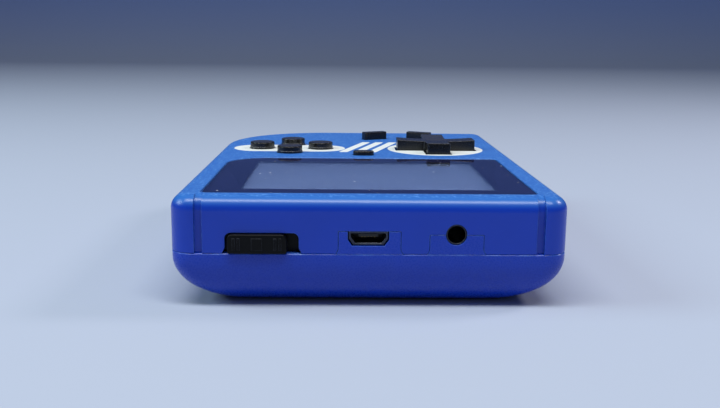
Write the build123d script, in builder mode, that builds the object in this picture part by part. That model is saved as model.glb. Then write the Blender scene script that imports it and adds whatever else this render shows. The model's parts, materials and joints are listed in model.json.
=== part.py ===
from build123d import *
import os
from math import cos, radians, sin, sqrt

os.makedirs("parts", exist_ok=True)

# Handheld game console, lying on its back.
# +Z points out of the face, +Y to the ports wall and +X to the player's right

# Case
case_width = 80.0
case_length = 115.0
case_wall = 2.0
board_room = 2.5
parts_room = 5.85
corner_radius = 4.5
thumb_corner_radius = 30.0
top_round = 3.0
parting_bevel = 0.15
side_round_width = 14.0
end_round_width = 9.0
straight_band = 0.95
bottom_corner_radius = 6.0
bottom_thumb_corner_radius = 18.5
round_steps = 6
lip_thickness = 0.9
lip_height = 1.0
fit_gap = 0.1
notch_flare = 0.45
notch_corner_radius = 0.2
cut_over = 5.0

# Corner grooves of the ports wall
groove_side_inset = 5.9
groove_width = 1.6
groove_depth = 0.9

# Lens, its tape, the panel and its tray
lens_side_inset = 5.85
lens_from_wall = 4.5
lens_from_foot = 60.2
lens_thickness = 1.0
lens_sink = 0.15
lens_corner_radius = 1.3
lens_thumb_corner_radius = 10.0
lens_gap = 0.15
lens_bevel = 0.12
recess_bevel = 0.15
tape_thickness = 0.15
tape_side_width = 7.45
tape_ports_width = 5.9
tape_foot_width = 4.4
gasket_thickness = 0.4
gasket_width = 1.8
panel_side_margin = 3.55
panel_end_margin = 3.0
panel_gap = 0.3
panel_thickness = 1.3
tray_side_wall = 1.25
tray_end_wall = 1.5
tray_floor = 1.0
tray_lip = 0.4
tray_gap = 0.15
foam_width = 7.0
foam_side_inset = 6.0
foam_end_inset = 8.5
foam_gap = 0.2
rib_thickness = 1.0
rib_drop = 2.6
ribbon_width = 14.0
ribbon_thickness = 0.3
ribbon_side_inset = 15.5
ribbon_side_gap = 1.0
ribbon_reach = 0.2
ribbon_bend_radius = 1.2
ribbon_foot = 6.0

# Board and its posts
board_thickness = 1.6
board_lift = 0.1
board_edge_gap = 0.5
board_gap = 0.3
board_notch = 3.4
post_radius = 2.1
post_side_inset = 4.8
post_foot_inset = 23.0

# Cross and its pivot
dpad_side_inset = 19.65
dpad_from_lens = 18.5
dpad_width = 21.5
dpad_arm = 6.2
dpad_proud = 2.95
dpad_dish_sag = 0.45
dpad_centre_radius = 3.3
dpad_centre_depth = 0.2
dpad_gap = 0.5
dpad_corner_radius = 0.4
dpad_top_round = 0.15
dpad_flange_margin = 1.45
dpad_flange_thickness = 1.0
dpad_flange_drop = 1.35
dpad_plunger_radius = 1.8
dpad_plunger_offset = 7.3
guard_gap = 0.5
guard_thickness = 0.8
pivot_ball_radius = 1.5
pivot_drop = 0.45
pivot_neck = 0.45
pivot_fit = 0.04
pivot_post_radius = 1.9
pivot_foot_radius = 3.0
pivot_peg_radius = 1.0

# Round buttons
button_side_inset = 20.15
button_from_lens = 18.6
button_spread = 16.25
button_radius = 3.4
button_proud = 1.85
button_step = 0.06
button_step_height = 0.55
button_dish_depth = 0.25
button_top_round = 0.3
button_gap = 0.22
button_flange_radius = 4.5
ear_width = 1.6
ear_reach = 5.15
sleeve_gap = 0.25
sleeve_thickness = 0.7
sleeve_drop = 3.2
stem_radius = 2.3

# Menu bars and reset pill
bar_length = 7.4
bar_width = 2.7
bar_proud = 2.25
bar_corner_radius = 0.5
bar_turn = 25.0
bar_top_round = 0.2
select_shift = 2.6
bar_pitch = 13.65
bars_from_lens = 41.4
pill_length = 5.5
pill_width = 3.0
pill_proud = 1.15
pill_top_round = 0.35
pill_stem_radius = 1.3
pill_from_lens = 6.0
key_flange_margin = 0.9
key_flange_thickness = 1.2
key_flange_drop = 0.15
bar_stem_share = 0.75

# Rubber sheets
sheet_thickness = 0.8
sheet_margin = 0.9
dome_height = 2.6
dome_foot_radius = 3.4
dome_top_radius = 2.3
dome_wall = 0.5
dome_gap = 0.25
pivot_hole_gap = 0.2

# Power slider
slot_side_inset = 11.15
slot_width = 14.7
slot_height = 4.25
slot_corner_radius = 1.2
slot_flare = 0.6
knob_width = 11.8
knob_proud = 1.2
knob_gap = 0.15
knob_rest_gap = 0.55
knob_travel = 2.1
knob_corner_radius = 1.1
knob_foot_corner_radius = 0.5
knob_front_round = 0.3
knob_flange_thickness = 1.2
knob_flange_margin = 2.8
knob_flange_rise = 1.0
knob_rib_width = 0.5
knob_rib_height = 2.4
knob_rib_inset = 1.3
knob_rib_pitch = 1.0
knob_rib_proud = 0.25
knob_block_width = 2.1
lever_width = 1.6
lever_height = 1.2
lever_lift = 1.1
slider_width = 3.6
fork_reach = 1.4
fork_wall = 0.8
switch_width = 8.6
switch_depth = 3.4
switch_height = 3.4
switch_sheet = 0.3

# Charging port
usb_x = 0.33
usb_width = 7.8
usb_height = 2.7
usb_depth = 5.6
usb_sheet = 0.35
usb_sink = 0.35
usb_lift = 0.2
usb_chamfer_width = 0.9
usb_chamfer_height = 1.25
usb_hole_gap = 0.22
usb_leg_width = 0.8
usb_block_depth = 1.2
usb_tongue_width = 3.9
usb_tongue_thickness = 0.6
usb_tongue_drop = 0.35
usb_tongue_reach = 3.4
usb_pin_count = 5
usb_pin_pitch = 0.65
usb_pin_width = 0.3
usb_pin_sheet = 0.12
usb_tab_shift = 0.24
usb_tab_width = 12.4

# Audio and video jack
jack_side_inset = 22.8
jack_rise = 2.35
jack_bore_radius = 1.8
jack_bore_length = 13.0
jack_nozzle_radius = 2.0
jack_hole_radius = 2.13
jack_width = 6.0
jack_body_height = 4.75
jack_back_wall = 0.9
jack_sink = 0.3
jack_contact_width = 1.6
jack_contact_sheet = 0.3
jack_contact_count = 3
jack_tab_shift = 0.1
jack_tab_width = 10.7
jack_tab_rise = 3.95

# Battery, its bay and its door
battery_side_inset = 23.0
battery_from_speaker = 11.2
battery_thickness = 5.7
battery_round = 1.5
battery_gap = 0.3
battery_from_foot = 12.8
bay_wall = 1.2
door_thickness = 1.6
door_sink = 0.15
door_margin = 2.1
door_gap = 0.2
door_seat_gap = 0.05
door_corner_radius = 2.0
door_bevel = 0.2
ledge_width = 2.2
ledge_roof = 0.75
hook_width = 5.0
hook_side_inset = 7.4
hook_reach = 1.4
hook_thickness = 0.7
hook_slot_rise = 0.6
latch_width = 10.0
latch_thickness = 0.9
latch_rise = 1.7
latch_inset = 0.2
nail_notch_radius = 5.0
nail_notch_depth = 0.9
grip_width = 14.0
grip_pitch = 1.7
grip_depth = 0.35
grip_count = 5
grip_inset = 4.0
contact_block_width = 9.0
contact_block_depth = 3.4
contact_rise = 0.25
contact_count = 3
contact_pitch = 2.8
contact_width = 1.2
contact_sheet = 0.3
contact_bend_radius = 0.6

# Speaker and its wires
speaker_from_wall = 28.0
speaker_radius = 10.0
speaker_height = 2.6
speaker_rim = 1.2
speaker_plate = 0.6
speaker_plate_hole_radius = 3.5
speaker_ring_wall = 1.0
speaker_ring_height = 2.4
speaker_gap = 0.3
cone_thickness = 0.3
cone_depth = 1.1
cone_cap_radius = 2.6
magnet_radius = 6.0
magnet_thickness = 1.5
slit_count = 7
slit_width = 1.1
wire_radius = 0.4
wire_spacing = 2.4
wire_inset = 2.0
wire_run = 9.0
wire_bend_share = 0.43

# Screws
screw_side_inset = 5.4
screw_ports_inset = 5.6
screw_foot_inset = 6.6
thumb_screw_side_inset = 13.0
thumb_screw_foot_inset = 15.0
boss_radius = 2.6
back_post_radius = 3.1
case_screw_radius = 0.9
case_screw_length = 8.0
case_head_radius = 1.8
case_head_height = 1.2
screw_seat_depth = 4.95
head_gap = 0.3
board_screw_radius = 0.75
board_screw_length = 4.5
board_head_radius = 1.5
board_head_height = 0.9
drive_width = 0.4
drive_share = 0.7
pilot_gap = 0.03

# Parts on the board, placed by shares of the half width and of the length
blob_radius = 5.5
blob_height = 1.6
blob_shares = (-0.225, 0.574)
memory_size = (12.0, 7.0, 1.3)
memory_shares = (0.225, 0.61)
crystal_size = (4.5, 11.0, 3.4)
crystal_from_foam = 1.65
crystal_length_share = 0.35
charge_size = (5.0, 4.0, 1.3)
charge_shares = (0.225, 0.083)
lead_count = 6
lead_width = 0.4
lead_reach = 0.9
lead_thickness = 0.2
capacitor_radius = 2.5
capacitor_height = 5.0
capacitor_rim = 0.4
blob_round_share = 0.6
crystal_round_share = 0.3
capacitor_shares = ((0.675, 0.14), (0.675, 0.2))

# Places worked out from the sizes
half_width = case_width / 2
ports_y = (case_length - knob_proud) / 2
foot_y = ports_y - case_length
inner_y = ports_y - case_wall
door_top = door_sink + door_thickness
battery_bottom = door_top + battery_gap
bay_top = battery_bottom + battery_thickness
parting_height = bay_top + bay_wall + board_room
round_height = parting_height - straight_band
board_bottom = parting_height + board_lift
board_top = board_bottom + board_thickness
board_inset = case_wall + board_edge_gap
tray_bottom = board_top + parts_room
panel_bottom = tray_bottom + tray_floor
panel_top = panel_bottom + panel_thickness
tape_bottom = panel_top + gasket_thickness
lens_bottom = tape_bottom + tape_thickness
case_height = lens_bottom + lens_thickness + lens_sink
face_under = case_height - case_wall
groove_offset = half_width - groove_side_inset
groove_centre_y = ports_y - groove_depth - top_round
lens_width = case_width - 2 * lens_side_inset
lens_length = case_length - lens_from_wall - lens_from_foot
lens_y = ports_y - lens_from_wall - lens_length / 2
lens_end = lens_y - lens_length / 2
window_width = lens_width - 2 * tape_side_width
window_length = lens_length - tape_ports_width - tape_foot_width
window_y = lens_end + tape_foot_width + window_length / 2
panel_width = window_width + 2 * panel_side_margin
panel_length = window_length + 2 * panel_end_margin
tray_width = panel_width + 2 * tray_side_wall
tray_length = panel_length + 2 * tray_end_wall
foam_offset = tray_width / 2 - foam_side_inset - foam_width / 2
crystal_x = -foam_offset - foam_width / 2 - crystal_from_foam - crystal_size[0] / 2
crystal_y = ports_y - crystal_length_share * case_length
ribbon_x = ribbon_side_inset - tray_width / 2
ribbon_y = window_y - tray_length / 2 - ribbon_bend_radius - ribbon_reach
dpad_x = dpad_side_inset - half_width
dpad_y = lens_end - dpad_from_lens
dpad_top = case_height + dpad_proud
dpad_flange_radius = dpad_width / 2 + dpad_flange_margin
dpad_flange_top = face_under - dpad_flange_drop
dpad_flange_bottom = dpad_flange_top - dpad_flange_thickness
pivot_height = dpad_flange_bottom - pivot_drop
button_x = half_width - button_side_inset
button_y = lens_end - button_from_lens
button_top = case_height + button_proud
pill_y = lens_end - pill_from_lens
select_x = dpad_x + select_shift
start_x = select_x + bar_pitch
bars_y = lens_end - bars_from_lens
key_flange_top = face_under - key_flange_drop
key_flange_bottom = key_flange_top - key_flange_thickness
sheet_top = board_top + sheet_thickness
dome_top = sheet_top + dome_height
stem_bottom = dome_top + dome_gap
slot_left = half_width - slot_side_inset
slot_x = slot_left - slot_width / 2
slot_top = parting_height + slot_height
knob_x = slot_left - knob_rest_gap - knob_width / 2
knob_flange_front = inner_y - fit_gap
knob_flange_back = knob_flange_front - knob_flange_thickness
switch_front = knob_flange_back - fork_reach - 2 * fit_gap
switch_x = knob_x - knob_travel / 2
switch_top = board_top + switch_height
knob_bottom = parting_height + knob_gap
knob_top = slot_top - knob_gap
lever_bottom = board_top + lever_lift
usb_bottom = board_top + usb_lift
usb_top = usb_bottom + usb_height
usb_mouth = ports_y - usb_sink
usb_back = usb_mouth - usb_depth
usb_tongue_bottom = usb_top - usb_sheet - usb_tongue_drop - usb_tongue_thickness
usb_tab_x = usb_x - usb_tab_shift
jack_x = jack_side_inset - half_width
jack_height = board_top + jack_rise
jack_mouth = ports_y - jack_sink
jack_back = jack_mouth - jack_bore_length - jack_back_wall
jack_tab_x = jack_x - jack_tab_shift
jack_tab_top = parting_height + jack_tab_rise
speaker_y = ports_y - speaker_from_wall
speaker_bottom = case_wall
speaker_top = speaker_bottom + speaker_height
battery_width = case_width - 2 * battery_side_inset
battery_end = speaker_y - speaker_radius - battery_from_speaker
battery_length = battery_end - foot_y - battery_from_foot
battery_y = battery_end - battery_length / 2
bay_half_x = battery_width / 2 + battery_gap
bay_half_y = battery_length / 2 + battery_gap
door_half_x = bay_half_x + door_margin
door_half_y = bay_half_y + door_margin
recess_half_x = door_half_x + door_gap
recess_half_y = door_half_y + door_gap
hook_offset = door_half_x - hook_side_inset
hook_tip_y = battery_y - door_half_y - hook_reach
door_end = battery_y + door_half_y
bay_end = battery_y + bay_half_y
ledge_height = door_top + latch_rise + door_gap + ledge_roof
contact_top = bay_top + contact_rise
contact_level = contact_top - 2 * contact_sheet
screw_seat_height = parting_height - screw_seat_depth
slit_reach = speaker_radius - speaker_rim
slit_offsets = [slit_reach * (2 * (index + 1) / (slit_count + 1) - 1) for index in range(slit_count)]
contact_rows = [(index - (contact_count - 1) / 2) * contact_pitch for index in range(contact_count)]
knob_rib_offset = knob_width / 2 - knob_rib_inset
knob_ribs = (
    (-knob_rib_offset, knob_rib_width),
    (knob_rib_pitch - knob_rib_offset, knob_rib_width),
    (0, knob_block_width),
    (knob_rib_offset - knob_rib_pitch, knob_rib_width),
    (knob_rib_offset, knob_rib_width),
)
button_places = {
    "right": (button_x + button_spread / 2, button_y),
    "left": (button_x - button_spread / 2, button_y),
    "top": (button_x, button_y + button_spread / 2),
    "bottom": (button_x, button_y - button_spread / 2),
}
dpad_places = [
    (dpad_x + dpad_plunger_offset, dpad_y),
    (dpad_x, dpad_y + dpad_plunger_offset),
    (dpad_x - dpad_plunger_offset, dpad_y),
    (dpad_x, dpad_y - dpad_plunger_offset),
]
bar_places = {"start": (start_x, bars_y, bar_turn), "select": (select_x, bars_y, -bar_turn)}
screw_places = [
    (-half_width + screw_side_inset, ports_y - screw_ports_inset),
    (half_width - screw_side_inset, ports_y - screw_ports_inset),
    (-half_width + screw_foot_inset, foot_y + screw_foot_inset),
    (half_width - thumb_screw_side_inset, foot_y + thumb_screw_foot_inset),
]
post_places = [
    (-half_width + post_side_inset, window_y),
    (half_width - post_side_inset, window_y),
    ((dpad_x + button_x) / 2, dpad_y - dpad_arm),
    (-half_width + screw_foot_inset, foot_y + post_foot_inset),
]

# The face of the ports wall, seen from outside with X to the right and its depth going in
ports_plane = Plane(origin=(0, ports_y, 0), x_dir=(1, 0, 0), z_dir=(0, -1, 0))


def case_place(shares):
    return (shares[0] * half_width, ports_y - shares[1] * case_length)


def corner_points(side_inset, end_inset):
    x = half_width - side_inset
    return [
        (x, ports_y - end_inset),
        (-x, ports_y - end_inset),
        (-x, foot_y + end_inset),
        (x, foot_y + end_inset),
    ]


def case_outline(level, inset=0.0):
    small = corner_radius - inset
    large = thumb_corner_radius - inset
    with BuildSketch(Plane.XY.offset(level)) as outline:
        with BuildLine():
            FilletPolyline(*corner_points(inset, inset), radius=[small, small, small, large], close=True)
        make_face()
    return outline.sketch


def round_outline(angle, inset=0.0):
    # the outline at one level of the rounded back, whose edge is a quarter ellipse
    share = 1 - cos(radians(angle))
    small = corner_radius - inset + (bottom_corner_radius - corner_radius) * share
    large = thumb_corner_radius - inset + (bottom_thumb_corner_radius - thumb_corner_radius) * share
    side = inset + (side_round_width - inset) * share
    end = inset + (end_round_width - inset) * share
    level = inset + (round_height - inset) * (1 - sin(radians(angle)))
    with BuildSketch(Plane.XY.offset(level)) as outline:
        with BuildLine():
            FilletPolyline(*corner_points(side, end), radius=[small, small, small, large], close=True)
        make_face()
    return outline.sketch


def round_outlines(inset=0.0):
    return [round_outline(90 * step / round_steps, inset) for step in range(round_steps + 1)]


def lens_outline(level, gap=0.0):
    x = lens_width / 2 + gap
    y = lens_length / 2 + gap
    small = lens_corner_radius + gap
    with BuildSketch(Plane.XY.offset(level)) as outline:
        with BuildLine():
            FilletPolyline(
                (x, lens_y + y),
                (-x, lens_y + y),
                (-x, lens_y - y),
                (x, lens_y - y),
                radius=[small, small, small, lens_thumb_corner_radius + gap],
                close=True,
            )
        make_face()
    return outline.sketch


def notch_outline(middle, width, top, flare, corner):
    # an opening that starts at the parting line, with flared lower corners
    half = width / 2
    with BuildSketch(ports_plane) as outline:
        with BuildLine():
            FilletPolyline(
                (middle - half - flare, parting_height - cut_over),
                (middle - half - flare, parting_height),
                (middle - half, parting_height + 2 * flare),
                (middle - half, top),
                (middle + half, top),
                (middle + half, parting_height + 2 * flare),
                (middle + half + flare, parting_height),
                (middle + half + flare, parting_height - cut_over),
                radius=[0, 0, 0, corner, corner, 0, 0, 0],
                close=True,
            )
        make_face()
    return outline.sketch


def usb_outline(depth, gap, top):
    # the charging port's outline with its two chamfered lower corners
    half = usb_width / 2 + gap
    low = usb_bottom - gap
    with BuildSketch(ports_plane.offset(depth)) as outline:
        with BuildLine():
            Polyline(
                (usb_x - half, top),
                (usb_x - half, low + usb_chamfer_height),
                (usb_x - half + usb_chamfer_width, low),
                (usb_x + half - usb_chamfer_width, low),
                (usb_x + half, low + usb_chamfer_height),
                (usb_x + half, top),
                close=True,
            )
        make_face()
    return outline.sketch


def around(middle, size):
    return (middle - size / 2, middle + size / 2)


def block(x_span, y_span, z_span, mode=Mode.ADD):
    with Locations((x_span[0], y_span[0], z_span[0])):
        Box(
            x_span[1] - x_span[0],
            y_span[1] - y_span[0],
            z_span[1] - z_span[0],
            align=(Align.MIN, Align.MIN, Align.MIN),
            mode=mode,
        )


def posts(places, radius, low, high, mode=Mode.ADD):
    with Locations(*[(x, y, low) for x, y in places]):
        Cylinder(radius, high - low, align=(Align.CENTER, Align.CENTER, Align.MIN), mode=mode)


def domes(places):
    # hollow rubber domes on a sheet, open towards the board
    foot = dome_foot_radius - dome_wall
    with Locations(*[(x, y, sheet_top) for x, y in places]):
        Cone(dome_foot_radius, dome_top_radius, dome_height, align=(Align.CENTER, Align.CENTER, Align.MIN))
        Cone(
            foot,
            dome_top_radius - dome_wall,
            dome_height - dome_wall,
            align=(Align.CENTER, Align.CENTER, Align.MIN),
            mode=Mode.SUBTRACT,
        )
    posts(places, foot, board_top, sheet_top, Mode.SUBTRACT)


def dish(place, bottom, radius, depth):
    # a shallow hollow that is deepest at its middle
    ball_radius = radius ** 2 / (2 * depth) + depth / 2
    with Locations((*place, bottom + ball_radius)):
        Sphere(ball_radius, mode=Mode.SUBTRACT)


def save(piece, name):
    piece.part.label = name
    export_step(piece.part, f"parts/{name}.step")


# Front shell: the upper half of the case, with the guides, ribs and bosses moulded under its face
with BuildPart() as front_shell:
    extrude(case_outline(parting_height), amount=case_height - parting_height)
    fillet(front_shell.edges().group_by(Axis.Z)[-1], top_round)
    chamfer(front_shell.edges().group_by(Axis.Z)[0], parting_bevel)
    extrude(case_outline(parting_height, case_wall), amount=face_under - parting_height, mode=Mode.SUBTRACT)
    extrude(
        case_outline(parting_height, case_wall - lip_thickness - fit_gap),
        amount=lip_height + fit_gap,
        mode=Mode.SUBTRACT,
    )
    with BuildSketch(Plane.XY.offset(face_under)):
        with Locations(*button_places.values()):
            Circle(button_flange_radius + sleeve_gap + sleeve_thickness)
        with Locations(*button_places.values()):
            Circle(button_flange_radius + sleeve_gap, mode=Mode.SUBTRACT)
            Rectangle(ear_width + 2 * sleeve_gap, 2 * (ear_reach + sleeve_thickness), mode=Mode.SUBTRACT)
        with Locations((dpad_x, dpad_y)):
            Circle(dpad_flange_radius + guard_gap + guard_thickness)
            Circle(dpad_flange_radius + guard_gap, mode=Mode.SUBTRACT)
    extrude(amount=-sleeve_drop)
    with BuildSketch(Plane.XY.offset(face_under)):
        with Locations((0, window_y)):
            Rectangle(
                tray_width + 2 * (tray_gap + rib_thickness),
                tray_length + 2 * (tray_gap + rib_thickness),
            )
            Rectangle(tray_width + 2 * tray_gap, tray_length + 2 * tray_gap, mode=Mode.SUBTRACT)
        with Locations((ribbon_x, window_y - tray_length / 2)):
            Rectangle(ribbon_width + 2 * ribbon_side_gap, cut_over, mode=Mode.SUBTRACT)
    extrude(amount=-rib_drop)
    posts(screw_places, boss_radius, parting_height, face_under)
    posts(post_places, post_radius, board_top, face_under)
    posts(
        screw_places,
        case_screw_radius + pilot_gap,
        parting_height,
        screw_seat_height + case_screw_length + head_gap,
        Mode.SUBTRACT,
    )
    posts(
        post_places,
        board_screw_radius + pilot_gap,
        board_top,
        board_bottom + board_screw_length + head_gap,
        Mode.SUBTRACT,
    )
    block(
        around(0, panel_width + 2 * panel_gap),
        around(window_y, panel_length + 2 * panel_gap),
        (face_under, tape_bottom),
        Mode.SUBTRACT,
    )
    extrude(lens_outline(tape_bottom, lens_gap), amount=case_height - tape_bottom, mode=Mode.SUBTRACT)
    chamfer(front_shell.faces().sort_by(Axis.Z)[-1].inner_wires().edges(), recess_bevel)
    with BuildSketch(Plane.XY.offset(face_under)):
        with Locations((dpad_x, dpad_y)):
            Rectangle(dpad_width + 2 * dpad_gap, dpad_arm + 2 * dpad_gap)
            Rectangle(dpad_arm + 2 * dpad_gap, dpad_width + 2 * dpad_gap)
        with Locations(*button_places.values()):
            Circle(button_radius + button_gap)
        with Locations((0, pill_y)):
            SlotOverall(pill_length + 2 * button_gap, pill_width + 2 * button_gap)
        for x, y, turn in bar_places.values():
            with Locations(Location((x, y), turn)):
                Rectangle(bar_length + 2 * button_gap, bar_width + 2 * button_gap)
    extrude(amount=cut_over, mode=Mode.SUBTRACT)
    for offset in (-groove_offset, groove_offset):
        with BuildSketch(Plane.YZ.offset(offset - groove_width / 2)):
            with BuildLine():
                arc = CenterArc((groove_centre_y, case_height - top_round), top_round, 0, 90)
                Polyline(
                    arc @ 1,
                    (groove_centre_y, case_height + cut_over),
                    (ports_y + cut_over, case_height + cut_over),
                    (ports_y + cut_over, parting_height - cut_over),
                    (ports_y - groove_depth, parting_height - cut_over),
                    arc @ 0,
                )
            make_face()
        extrude(amount=groove_width, mode=Mode.SUBTRACT)
    for middle, width, top, flare, corner in (
        (slot_x, slot_width, slot_top, slot_flare, slot_corner_radius),
        (usb_tab_x, usb_tab_width + 2 * fit_gap, usb_top + fit_gap, notch_flare, notch_corner_radius),
        (
            jack_tab_x,
            jack_tab_width + 2 * fit_gap,
            jack_tab_top + fit_gap,
            notch_flare,
            notch_corner_radius,
        ),
    ):
        notch = notch_outline(middle, width, top, flare, corner)
        extrude(notch, amount=case_wall + fit_gap, mode=Mode.SUBTRACT)
    with BuildSketch(ports_plane):
        with Locations((jack_x, jack_height)):
            Circle(jack_hole_radius)
    extrude(amount=case_wall + fit_gap, mode=Mode.SUBTRACT)
save(front_shell, "front_shell")


# Hollow of the back shell, less what stands in it: the battery bay, the posts and the speaker's ring
with BuildPart() as back_hollow:
    extrude(case_outline(round_height, case_wall), amount=parting_height - round_height + cut_over)
    loft(sections=round_outlines(case_wall))
    block(
        around(0, 2 * (recess_half_x + ledge_width)),
        around(battery_y, 2 * (recess_half_y + ledge_width)),
        (0, ledge_height),
        Mode.SUBTRACT,
    )
    block(
        around(0, 2 * (bay_half_x + bay_wall)),
        around(battery_y, 2 * (bay_half_y + bay_wall)),
        (0, bay_top + bay_wall),
        Mode.SUBTRACT,
    )
    posts(screw_places, back_post_radius, 0, parting_height, Mode.SUBTRACT)
    with BuildSketch(Plane.XY):
        with Locations((0, speaker_y)):
            Circle(speaker_radius + speaker_gap + speaker_ring_wall)
            Circle(speaker_radius + speaker_gap, mode=Mode.SUBTRACT)
    extrude(amount=case_wall + speaker_ring_height, mode=Mode.SUBTRACT)

# Tabs of the back shell that hold the lower halves of the two ports
with BuildPart() as port_tabs:
    for middle, width, top in (
        (usb_tab_x, usb_tab_width, usb_top),
        (jack_tab_x, jack_tab_width, jack_tab_top),
    ):
        extrude(notch_outline(middle, width, top, notch_flare, notch_corner_radius), amount=case_wall)
    block(
        (-half_width, half_width),
        (inner_y, ports_y),
        (parting_height - cut_over, parting_height),
        Mode.SUBTRACT,
    )

# Lip that stands on the back shell and fits inside the front shell
lip_inside = case_outline(parting_height, case_wall)
lip_outline = case_outline(parting_height, case_wall - lip_thickness) - lip_inside


# Back shell: the lower half, its edges rounded by a quarter ellipse, with the tabs of the two ports
with BuildPart() as back_shell:
    extrude(case_outline(round_height), amount=parting_height - round_height)
    chamfer(back_shell.edges().group_by(Axis.Z)[-1], parting_bevel)
    loft(sections=round_outlines())
    add(back_hollow.part, mode=Mode.SUBTRACT)
    extrude(lip_outline, amount=lip_height)
    block(
        around(slot_x, slot_width + 2 * slot_flare),
        (inner_y, ports_y),
        (parting_height, parting_height + cut_over),
        Mode.SUBTRACT,
    )
    add(port_tabs.part)
    extrude(usb_outline(0, usb_hole_gap, usb_top + cut_over), amount=case_wall, mode=Mode.SUBTRACT)
    with BuildSketch(ports_plane):
        with Locations((jack_x, jack_height)):
            Circle(jack_hole_radius)
    extrude(amount=case_wall, mode=Mode.SUBTRACT)
    block(around(0, 2 * bay_half_x), around(battery_y, 2 * bay_half_y), (0, bay_top), Mode.SUBTRACT)
    block(
        around(0, contact_block_width + 2 * fit_gap),
        (bay_end, bay_end + contact_block_depth),
        (ledge_height, contact_top + fit_gap),
        Mode.SUBTRACT,
    )
    with BuildSketch(Plane.XY):
        with Locations((0, battery_y)):
            RectangleRounded(2 * recess_half_x, 2 * recess_half_y, door_corner_radius + door_gap)
    extrude(amount=door_top + door_seat_gap, mode=Mode.SUBTRACT)
    for side in (-1, 1):
        block(
            around(side * hook_offset, hook_width + 2 * door_gap),
            (hook_tip_y - door_gap, battery_y),
            (door_top - hook_thickness - fit_gap, door_top + hook_slot_rise),
            Mode.SUBTRACT,
        )
    block(
        around(0, latch_width + 2 * door_gap),
        (door_end - latch_inset - latch_thickness - fit_gap, door_end + door_gap),
        (0, door_top + latch_rise + door_gap),
        Mode.SUBTRACT,
    )
    posts([(0, door_end + door_gap)], nail_notch_radius, 0, nail_notch_depth, Mode.SUBTRACT)
    posts(screw_places, case_head_radius + head_gap, 0, screw_seat_height, Mode.SUBTRACT)
    posts(screw_places, case_screw_radius + head_gap, 0, parting_height, Mode.SUBTRACT)
    with BuildSketch(Plane.XY):
        for offset in slit_offsets:
            with Locations((0, speaker_y + offset)):
                SlotOverall(2 * sqrt(slit_reach ** 2 - offset ** 2), slit_width)
    extrude(amount=case_wall, mode=Mode.SUBTRACT)
save(back_shell, "back_shell")


# Screen: lens, tape, gasket, panel, tray, foam blocks and flat cable
with BuildPart() as screen_lens:
    extrude(lens_outline(lens_bottom), amount=lens_thickness)
    chamfer(screen_lens.edges().group_by(Axis.Z)[-1], lens_bevel)
save(screen_lens, "screen_lens")

with BuildPart() as lens_tape:
    extrude(lens_outline(tape_bottom), amount=tape_thickness)
    block(
        around(0, window_width),
        around(window_y, window_length),
        (tape_bottom, lens_bottom),
        Mode.SUBTRACT,
    )
save(lens_tape, "lens_tape")

with BuildPart() as lcd_gasket:
    block(around(0, panel_width), around(window_y, panel_length), (panel_top, tape_bottom))
    block(
        around(0, panel_width - 2 * gasket_width),
        around(window_y, panel_length - 2 * gasket_width),
        (panel_top, tape_bottom),
        Mode.SUBTRACT,
    )
save(lcd_gasket, "lcd_gasket")

with BuildPart() as lcd_panel:
    block(around(0, panel_width), around(window_y, panel_length), (panel_bottom, panel_top))
save(lcd_panel, "lcd_panel")

with BuildPart() as lcd_frame:
    block(around(0, tray_width), around(window_y, tray_length), (tray_bottom, panel_bottom + tray_lip))
    block(
        around(0, panel_width + 2 * tray_gap),
        around(window_y, panel_length + 2 * tray_gap),
        (panel_bottom, panel_bottom + tray_lip),
        Mode.SUBTRACT,
    )
    block(
        around(ribbon_x, ribbon_width + 2 * tray_gap),
        (window_y - tray_length / 2, window_y),
        (panel_bottom, panel_bottom + tray_lip),
        Mode.SUBTRACT,
    )
save(lcd_frame, "lcd_frame")

with BuildPart() as lcd_foam:
    for side in (-1, 1):
        block(
            around(side * foam_offset, foam_width),
            (window_y - tray_length / 2 + foam_end_inset, jack_back - foam_gap),
            (board_top, tray_bottom),
        )
save(lcd_foam, "lcd_foam")

with BuildPart() as lcd_ribbon:
    with BuildSketch(Plane.YZ.offset(ribbon_x - ribbon_width / 2)):
        with BuildLine():
            FilletPolyline(
                (window_y - panel_length / 2, panel_bottom + ribbon_thickness / 2),
                (ribbon_y, panel_bottom + ribbon_thickness / 2),
                (ribbon_y, board_top + ribbon_thickness / 2),
                (ribbon_y + ribbon_foot, board_top + ribbon_thickness / 2),
                radius=ribbon_bend_radius,
            )
        trace(line_width=ribbon_thickness)
    extrude(amount=ribbon_width)
save(lcd_ribbon, "lcd_ribbon")


# Board, with holes for the bosses, its screws and the peg of the cross, and room for the power slider
with BuildPart() as main_board:
    extrude(case_outline(board_bottom, board_inset), amount=board_thickness)
    for x, y in screw_places[:2]:
        block(
            around(x, 2 * board_notch),
            around(y, 2 * board_notch),
            (board_bottom, board_top),
            Mode.SUBTRACT,
        )
    posts(screw_places[2:], boss_radius + board_gap, board_bottom, board_top, Mode.SUBTRACT)
    posts(post_places, board_screw_radius + fit_gap, board_bottom, board_top, Mode.SUBTRACT)
    posts([(dpad_x, dpad_y)], pivot_peg_radius, board_bottom, board_top, Mode.SUBTRACT)
    block(
        around(switch_x, knob_width + 2 * knob_flange_margin + knob_travel + 2 * board_gap),
        (knob_flange_back - board_gap, ports_y),
        (board_bottom, board_top),
        Mode.SUBTRACT,
    )
save(main_board, "main_board")


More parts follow.
